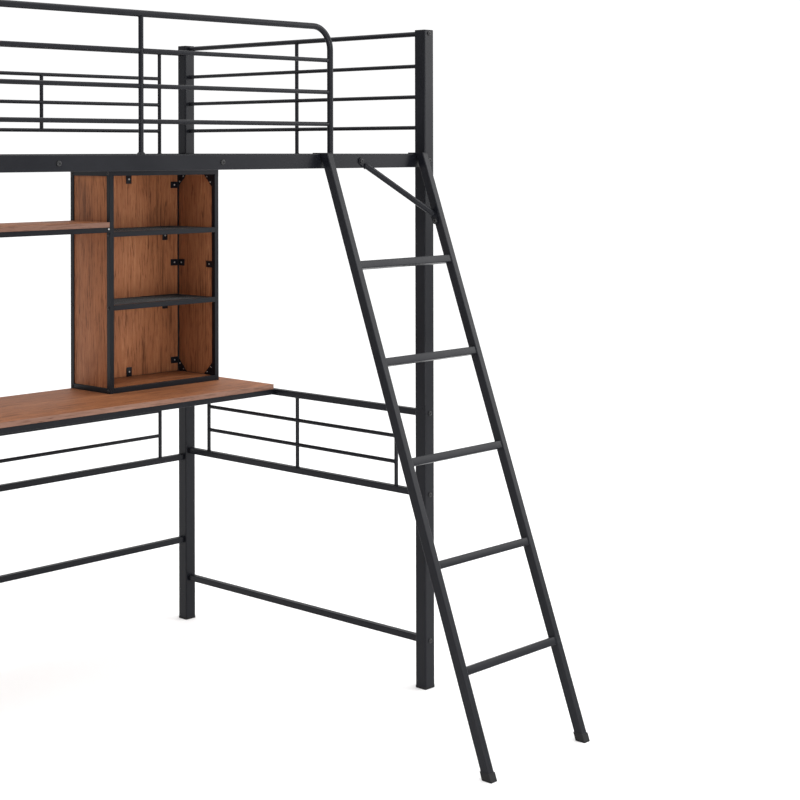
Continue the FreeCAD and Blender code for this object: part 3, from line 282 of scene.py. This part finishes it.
board_wood = wooden("wood_board", (0.085, 0.030, 0.013, 1), (0.290, 0.110, 0.046, 1),
                    (0.450, 0.190, 0.088, 1))
edge_wood = wooden("wood_edge_band", (0.130, 0.062, 0.042, 1), (0.190, 0.100, 0.070, 1),
                   (0.250, 0.140, 0.100, 1), shift=(0.3, 0.7, 0.2))

FINISH = {"steel": steel, "wood_board": board_wood, "wood_panel": panel_wood_painted_light,
          "black_plastic": plastic, "bolt_black": black_bolt, "zinc_steel": zinc,
          "steel_mesh": wire_coat}
for entry in frame["record"]["subparts"]:
    shown = nodes[entry["node"]]
    shown.data.materials.clear()
    shown.data.materials.append(FINISH[entry["material_slot"]])

# ---------------------------------------------------------------- making pieces
# Every piece starts as a primitive at its size and place, and is shaped in edit mode.


def let_go():
    """Back to object mode with nothing selected."""
    if bpy.context.mode != "OBJECT":
        bpy.ops.object.mode_set(mode="OBJECT")
    bpy.ops.object.select_all(action="DESELECT")


def hold(*pieces):
    """Selects these pieces alone; the first one is active."""
    let_go()
    for piece in pieces:
        piece.select_set(True)
    bpy.context.view_layer.objects.active = pieces[0]
    return pieces[0]


def open_up(piece, kind, test):
    """Edit mode with only the faces or edges that pass the test selected."""
    hold(piece)
    bpy.ops.object.mode_set(mode="EDIT")
    bpy.ops.mesh.select_mode(type=kind)
    bpy.ops.mesh.select_all(action="DESELECT")
    shape = bmesh.from_edit_mesh(piece.data)
    shape.normal_update()
    for element in shape.edges if kind == "EDGE" else shape.faces:
        if test(element):
            element.select_set(True)
    bmesh.update_edit_mesh(piece.data)


def fix_place(piece):
    hold(piece)
    bpy.ops.object.transform_apply(location=True, rotation=True, scale=True)
    return piece


def run_of(edge):
    """The axis that an edge runs along: 0, 1 or 2, or None if it is slanted."""
    way = (edge.verts[1].co - edge.verts[0].co).normalized()
    return next((axis for axis in range(3) if abs(way[axis]) > 0.99), None)


def slab(low, high, ease, segments=2):
    """A block between two corners with every edge eased."""
    let_go()
    low, high = Vector(low), Vector(high)
    bpy.ops.mesh.primitive_cube_add(size=1, location=(low + high) / 2, scale=high - low)
    piece = fix_place(bpy.context.object)
    open_up(piece, "EDGE", lambda edge: True)
    bpy.ops.mesh.bevel(offset=ease, segments=segments, affect="EDGES")
    let_go()
    return piece


def join(pieces):
    hold(*pieces)
    if len(pieces) > 1:
        bpy.ops.object.join()
    return pieces[0]


def copy_to(piece, place, facing=(0, 0, 1)):
    """A copy with its own mesh, its +Z turned to face a way and its origin moved to a place."""
    twin = piece.copy()
    twin.data = piece.data.copy()
    bpy.context.collection.objects.link(twin)
    twin.rotation_mode = "QUATERNION"
    twin.rotation_quaternion = Vector((0, 0, 1)).rotation_difference(Vector(facing))
    twin.location = place
    return fix_place(twin)


def discard(piece):
    bpy.data.objects.remove(piece, do_unlink=True)


def finish(piece, name, slot, *finishes, instead=(), smooth=40):
    """Names a piece, gives it its finishes, and hangs it on the frame."""
    hold(piece)
    piece.name = name
    if not piece.data.materials:
        for paint in finishes:
            piece.data.materials.append(paint)
    bpy.ops.object.shade_smooth_by_angle(angle=math.radians(smooth))
    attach(piece, "root")
    if instead:
        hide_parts(*instead)
    return piece


def islands(node):
    """The points of each separate solid of a node."""
    shape = bmesh.new()
    shape.from_mesh(nodes[node].data)
    shape.transform(nodes[node].matrix_world)
    bmesh.ops.remove_doubles(shape, verts=shape.verts, dist=0.01 * MM)
    waiting = set(shape.verts)
    found = []
    while waiting:
        front = [waiting.pop()]
        points = []
        while front:
            point = front.pop()
            points.append(point.co.copy())
            for edge in point.link_edges:
                other = edge.other_vert(point)
                if other in waiting:
                    waiting.remove(other)
                    front.append(other)
        found.append(points)
    shape.free()
    return sorted(found, key=lambda points: tuple(round(c, 5) for c in corners(points)[0]))


def corners(points):
    """Lowest and highest corner of some points."""
    return (Vector([min(p[axis] for p in points) for axis in range(3)]),
            Vector([max(p[axis] for p in points) for axis in range(3)]))


# ---------------------------------------------------------------- boards and panels
# Particle board with a printed grain. The long boards carry a paler band round their edges,
# and the panels stand upright in the bookcase with hardly any edge in sight.
EASED = 0.7 * MM


def laminated(node, slot_name, face_paint, face_axis):
    parts = []
    for points in islands(node):
        part = slab(*corners(points), EASED)
        part.data.materials.append(face_paint)
        part.data.materials.append(edge_wood)
        open_up(part, "FACE", lambda face: abs(face.normal[face_axis]) < 0.5)
        part.active_material_index = 1
        bpy.ops.object.material_slot_assign()
        parts.append(part)
    return finish(join(parts), node + "_laminate", slot_name, instead=[node])


for board in ("desk_board_left", "desk_board_right", "wall_shelf_board", "bookcase_board_bottom",
              "bookcase_board_top"):
    laminated(board, "wood_board", board_wood, 2)
# The panels take the wood copy with painted light, whose paler tones lift them out of the
# bookcase's shade.
for panel, thin_axis in (("bookcase_panel_left", 0), ("bookcase_panel_right", 0),
                         ("bookcase_panel_back", 1)):
    laminated(panel, "wood_panel", panel_wood_painted_light, thin_axis)

# ---------------------------------------------------------------- wire mesh shelves
# Fine welded wire: one layer of wires along each shelf and one across, a wire's width apart.
WIRE = 1.3 * MM
WIRE_GAP = 7 * MM


def wires(low, high, along, level):
    """A row of parallel wires that fills a rectangle."""
    across = 1 - along
    length = high[along] - low[along]
    count = int((high[across] - low[across]) / WIRE_GAP)
    start = Vector((0, 0, level))
    start[along] = (low[along] + high[along]) / 2
    start[across] = (low[across] + high[across] - (count - 1) * WIRE_GAP) / 2
    turn = (0, math.pi / 2, 0) if along == 0 else (math.pi / 2, 0, 0)
    let_go()
    bpy.ops.mesh.primitive_cylinder_add(vertices=6, radius=WIRE / 2, depth=length, location=start,
                                        rotation=turn)
    row = fix_place(bpy.context.object)
    bpy.ops.object.modifier_add(type="ARRAY")
    array = row.modifiers[-1]
    array.count = count
    array.use_relative_offset = False
    array.use_constant_offset = True
    array.constant_offset_displace = [WIRE_GAP * (axis == across) for axis in range(3)]
    bpy.ops.object.modifier_apply(modifier=array.name)
    return row


layers = []
for points in islands("bookcase_mesh_shelves"):
    low, high = corners(points)
    layers.append(wires(low, high, 0, high.z - WIRE / 2))
    layers.append(wires(low, high, 1, high.z - WIRE * 1.4))
finish(join(layers), "bookcase_wire_shelves", "steel_mesh", wire_coat,
       instead=["bookcase_mesh_shelves"])

# ---------------------------------------------------------------- bolt heads
# Domed button heads with a hexagon socket, one on every bolt, turned to face outwards.


def button_head(width):
    """A domed head that stands on the origin and faces up, with a hexagon socket sunk into it."""
    height = 0.25 * width
    socket = 0.44 * width
    depth = 0.13 * width
    let_go()
    bpy.ops.mesh.primitive_cylinder_add(vertices=32, radius=width / 2, depth=height,
                                        location=(0, 0, height / 2))
    head = fix_place(bpy.context.object)
    open_up(head, "FACE", lambda face: face.normal.z > 0.9)
    bpy.ops.mesh.bevel(offset=height * 0.78, segments=4, affect="EDGES")
    let_go()
    bpy.ops.mesh.primitive_cylinder_add(vertices=6, radius=socket / 2, depth=2 * depth,
                                        location=(0, 0, height))
    cutter = fix_place(bpy.context.object)
    hold(head)
    bpy.ops.object.modifier_add(type="BOOLEAN")
    head.modifiers[-1].object = cutter
    head.modifiers[-1].operation = "DIFFERENCE"
    bpy.ops.object.modifier_apply(modifier=head.modifiers[-1].name)
    discard(cutter)
    return head


def bolt_seat(points):
    """Where a bolt's head sits, which way it faces and how wide it is."""
    low, high = corners(points)
    axis = max(range(3), key=lambda a: high[a] - low[a])
    centre = (low + high) / 2
    off_axis = [(p - centre).length_squared - (p - centre)[axis] ** 2 for p in points]
    widest = max(off_axis)
    rim = [p[axis] for p, reach in zip(points, off_axis) if reach > widest * 0.98]
    seat = centre.copy()
    seat[axis] = sum(rim) / len(rim)
    facing = Vector((0, 0, 0))
    facing[axis] = 1 if seat[axis] > centre[axis] else -1
    return seat, facing, 2 * math.sqrt(widest)


for node in ("post_bolts", "rail_bolts", "bookcase_bolts"):
    seats = [bolt_seat(points) for points in islands(node)]
    pattern = button_head(seats[0][2])
    heads = [copy_to(pattern, seat, facing) for seat, facing, _ in seats]
    discard(pattern)
    finish(join(heads), node.replace("bolts", "bolt_heads"), "bolt_black", black_bolt,
           instead=[node])

# ---------------------------------------------------------------- post caps and foot pads
# Moulded caps: round corners like the tube's, a soft crown on top, a thin lip at the floor.
POST_CORNER = 4 * MM
CAP_HEAD = 2.5 * MM
CAP_CROWN = 1.6 * MM
PAD_EASE = 0.5 * MM


def moulded(low, high, crown):
    """A square cap with round corners and a rounded top edge."""
    let_go()
    bpy.ops.mesh.primitive_cube_add(size=1, location=(low + high) / 2, scale=high - low)
    cap = fix_place(bpy.context.object)
    open_up(cap, "EDGE", lambda edge: run_of(edge) == 2)
    bpy.ops.mesh.bevel(offset=POST_CORNER, segments=5, affect="EDGES")
    open_up(cap, "FACE", lambda face: face.normal.z > 0.9)
    bpy.ops.mesh.bevel(offset=crown, segments=3, affect="EDGES")
    let_go()
    return cap


caps = []
for points in islands("post_top_caps"):
    low, high = corners(points)
    low.z = high.z - CAP_HEAD
    caps.append(moulded(low, high, CAP_CROWN))
finish(join(caps), "post_caps_moulded", "black_plastic", plastic, instead=["post_top_caps"])
pads = [moulded(*corners(points), PAD_EASE) for points in islands("post_foot_pads")]
finish(join(pads), "foot_pads_moulded", "black_plastic", plastic, instead=["post_foot_pads"])

# ---------------------------------------------------------------- ladder rungs
# Square tube turned with the ladder's lean, welded to the rails all round at both ends.
RUNG = 20 * MM
RUNG_CORNER = 2.2 * MM
WELD_WIDTH = 2.6 * MM
WELD_LIP = 1 * MM
WELD_CORNER = 3 * MM
rung_boxes = [corners(points) for points in islands("ladder_rungs")]
rung_boxes.sort(key=lambda pair: pair[0].z)
middles = [(low + high) / 2 for low, high in rung_boxes]
climb = middles[-1] - middles[0]
lean = math.atan2(climb.y, climb.z)
rung_length = rung_boxes[0][1].x - rung_boxes[0][0].x
rungs = []
welds = []
for middle in middles:
    let_go()
    bpy.ops.mesh.primitive_cube_add(size=1, location=middle, rotation=(-lean, 0, 0),
                                    scale=(rung_length, RUNG, RUNG))
    rung = fix_place(bpy.context.object)
    open_up(rung, "EDGE", lambda edge: run_of(edge) == 0)
    bpy.ops.mesh.bevel(offset=RUNG_CORNER, segments=3, affect="EDGES")
    let_go()
    rungs.append(rung)
    for end in (-1, 1):
        let_go()
        bpy.ops.mesh.primitive_cube_add(
            size=1, location=middle + Vector((end * rung_length / 2, 0, 0)),
            rotation=(-lean, 0, 0), scale=(WELD_WIDTH, RUNG + 2 * WELD_LIP, RUNG + 2 * WELD_LIP))
        bead = fix_place(bpy.context.object)
        open_up(bead, "EDGE", lambda edge: run_of(edge) == 0)
        bpy.ops.mesh.bevel(offset=WELD_CORNER, segments=3, affect="EDGES")
        open_up(bead, "FACE", lambda face: abs(face.normal.x) > 0.9)
        bpy.ops.mesh.bevel(offset=WELD_LIP, segments=2, affect="EDGES")
        let_go()
        welds.append(bead)
finish(join(rungs), "ladder_rungs_welded", "steel", steel, instead=["ladder_rungs"])
finish(join(welds), "ladder_rung_welds", "steel", steel)

# ---------------------------------------------------------------- weld beads on the rods
# A small bead runs round every rod where it meets an upright, a rail or a post.
END_ZONE = 12 * MM
BEAD = 1.1 * MM


def rod_ends(points):
    """Axis, middle, radius and the mean place of the end profile, for both ends of a rod."""
    low, high = corners(points)
    axis = max(range(3), key=lambda a: high[a] - low[a])
    radius = min(high[a] - low[a] for a in range(3)) / 2
    for end, way in ((low[axis], 1), (high[axis], -1)):
        profile = [p[axis] for p in points if abs(p[axis] - end) < END_ZONE]
        place = (low + high) / 2
        place[axis] = sum(profile) / len(profile) + way * BEAD / 2
        yield axis, place, radius


AXES = (Vector((1, 0, 0)), Vector((0, 1, 0)), Vector((0, 0, 1)))
beads = []
for node in sorted(nodes):
    if "_rods_" in node:
        for points in islands(node):
            for axis, place, radius in rod_ends(points):
                let_go()
                turn = AXES[2].rotation_difference(AXES[axis]).to_euler()
                bpy.ops.mesh.primitive_torus_add(
                    major_segments=20, minor_segments=6, major_radius=radius + BEAD * 0.2,
                    minor_radius=BEAD, location=place, rotation=turn)
                beads.append(fix_place(bpy.context.object))
finish(join(beads), "rod_weld_beads", "steel", steel, smooth=180)

# ---------------------------------------------------------------- panel clips and screws
# Pressed clips with eased edges, each held by one small zinc screw; two screws on a gusset,
# and one more at the right end of the wall shelf's bar.
SCREW_HEAD = 5.5 * MM
CLIP_EASE = 0.5 * MM


def pan_screw(width):
    let_go()
    bpy.ops.mesh.primitive_cylinder_add(vertices=20, radius=width / 2, depth=0.3 * width,
                                        location=(0, 0, 0.15 * width))
    screw = fix_place(bpy.context.object)
    open_up(screw, "FACE", lambda face: face.normal.z > 0.9)
    bpy.ops.mesh.bevel(offset=0.2 * width, segments=3, affect="EDGES")
    open_up(screw, "FACE", lambda face: face.normal.z > 0.99)
    bpy.ops.mesh.inset(thickness=0.1 * width)
    bpy.ops.mesh.extrude_region_move(TRANSFORM_OT_translate={"value": (0, 0, -0.16 * width)})
    let_go()
    return screw


screw = pan_screw(SCREW_HEAD)
screws = []
clips = []
case_low, case_high = (Vector(corner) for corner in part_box("bookcase_end_bars"))
case_middle = (case_low + case_high) / 2
for points in islands("bookcase_clips"):
    low, high = corners(points)
    clips.append(slab(low, high, CLIP_EASE))
    thin = min((0, 1), key=lambda a: high[a] - low[a])
    seat = (low + high) / 2
    facing = Vector((0, 0, 0))
    facing[thin] = 1 if case_middle[thin] > seat[thin] else -1
    seat[thin] = high[thin] if facing[thin] > 0 else low[thin]
    screws.append(copy_to(screw, seat, facing))
finish(join(clips), "bookcase_clips_pressed", "steel", steel, instead=["bookcase_clips"])
for points in islands("bookcase_gussets"):
    low, high = corners(points)
    inner = Vector((low.x if case_middle.x < low.x else high.x, 0, 0))
    facing = Vector((1 if case_middle.x > low.x else -1, 0, 0))
    square_y = low.y if low.y < case_middle.y else high.y
    square_z = low.z if low.z < case_middle.z else high.z
    legs = (high.y - low.y) * (1 if square_y == low.y else -1), (high.z - low.z) * (
        1 if square_z == low.z else -1)
    for share_y, share_z in ((0.62, 0.18), (0.18, 0.62)):
        seat = Vector((inner.x, square_y + share_y * legs[0], square_z + share_z * legs[1]))
        screws.append(copy_to(screw, seat, facing))
shelf_low, shelf_high = (Vector(corner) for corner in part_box("wall_shelf_frame"))
shelf_seat = (shelf_high.x - 4 * MM, shelf_low.y, shelf_high.z - 5 * MM)
screws.append(copy_to(screw, shelf_seat, (0, -1, 0)))
discard(screw)
finish(join(screws), "panel_screws", "zinc_steel", zinc)

# ---------------------------------------------------------------- studio
# A pale floor that fades into a pale surround, a large key light and three soft fills.
bpy.ops.object.select_all(action="DESELECT")
bpy.ops.mesh.primitive_plane_add(size=400, location=(0, 0, -0.0005))
floor = bpy.context.object
floor.name = "studio_floor"
floor_paint, _, floor_shader = start_material("studio_floor")
floor_shader.inputs["Base Color"].default_value = (0.95, 0.95, 0.95, 1)
floor_shader.inputs["Roughness"].default_value = 0.9
floor_shader.inputs["Specular IOR Level"].default_value = 0.0
floor.data.materials.append(floor_paint)

# The camera sees a white surround; what falls on the object comes from a bright ceiling, with
# dim walls behind the camera's left and a brighter one to its right.
world = bpy.data.worlds.new("studio_surround")
world.use_nodes = True
sky = world.node_tree
backdrop = sky.nodes["Background"]
backdrop.inputs["Color"].default_value = (1, 1, 1, 1)
backdrop.inputs["Strength"].default_value = 1.06
direction = add(sky, "ShaderNodeTexCoord").outputs["Generated"]
slant = add(sky, "ShaderNodeSeparateXYZ", {"Vector": direction})
height = ramp(sky, calc(sky, "MULTIPLY_ADD", slant.outputs["Z"], 0.5),
              [(0.0, grey(0.9)), (0.48, grey(0.30)), (0.56, grey(0.34)), (0.78, grey(1.0)),
               (1.0, grey(1.0))], "EASE")
rightward = calc(sky, "SUBTRACT", slant.outputs["X"], slant.outputs["Y"])
sideways = add(sky, "ShaderNodeMapRange", {"Value": rightward, "From Min": 0.2,
                                           "From Max": 1.4, "To Min": 0.0, "To Max": 0.45})
room_light = add(sky, "ShaderNodeBackground",
                 {"Color": mix(sky, 1.0, height, sideways.outputs["Result"], "ADD"),
                  "Strength": 1.25})
seen = add(sky, "ShaderNodeLightPath").outputs["Is Camera Ray"]
choose = add(sky, "ShaderNodeMixShader", {0: seen, 1: room_light.outputs[0],
                                          2: backdrop.outputs[0]})
sky.links.new(choose.outputs[0], sky.nodes["World Output"].inputs["Surface"])
bpy.context.scene.world = world


def area_light(name, place, target, size, power):
    bpy.ops.object.light_add(type="AREA", location=place)
    lamp = bpy.context.object
    lamp.name = name
    lamp.data.size = size
    lamp.data.energy = power
    lamp.rotation_euler = (Vector(target) - Vector(place)).to_track_quat("-Z", "Y").to_euler()


MIDDLE = (0.2, 0.2, 0.9)
area_light("key_light", (-3.4, -3.6, 4.2), MIDDLE, 3.0, 80)
area_light("right_fill", (4.2, -2.6, 2.6), MIDDLE, 2.6, 70)
area_light("front_fill", (-0.6, -4.2, 0.5), (0.6, 0.7, 0.9), 1.6, 80)
area_light("top_fill", (0.3, 0.4, 4.6), MIDDLE, 3.4, 45)

# ---------------------------------------------------------------- camera
# Eye height just above the deck, level, looking along the room from beyond the far end.
bpy.ops.object.camera_add(location=(-2.4485, -3.3383, 1.4846))
camera = bpy.context.object
camera.name = "camera"
camera.rotation_euler = (math.radians(90), math.radians(0.11), math.radians(42.955 - 90))
camera.data.sensor_width = 36
camera.data.lens = 75.47
camera.data.shift_x = -0.0006
camera.data.shift_y = -0.3125
camera.data.clip_end = 100
bpy.context.scene.camera = camera
bpy.context.scene.view_settings.view_transform = "Standard"
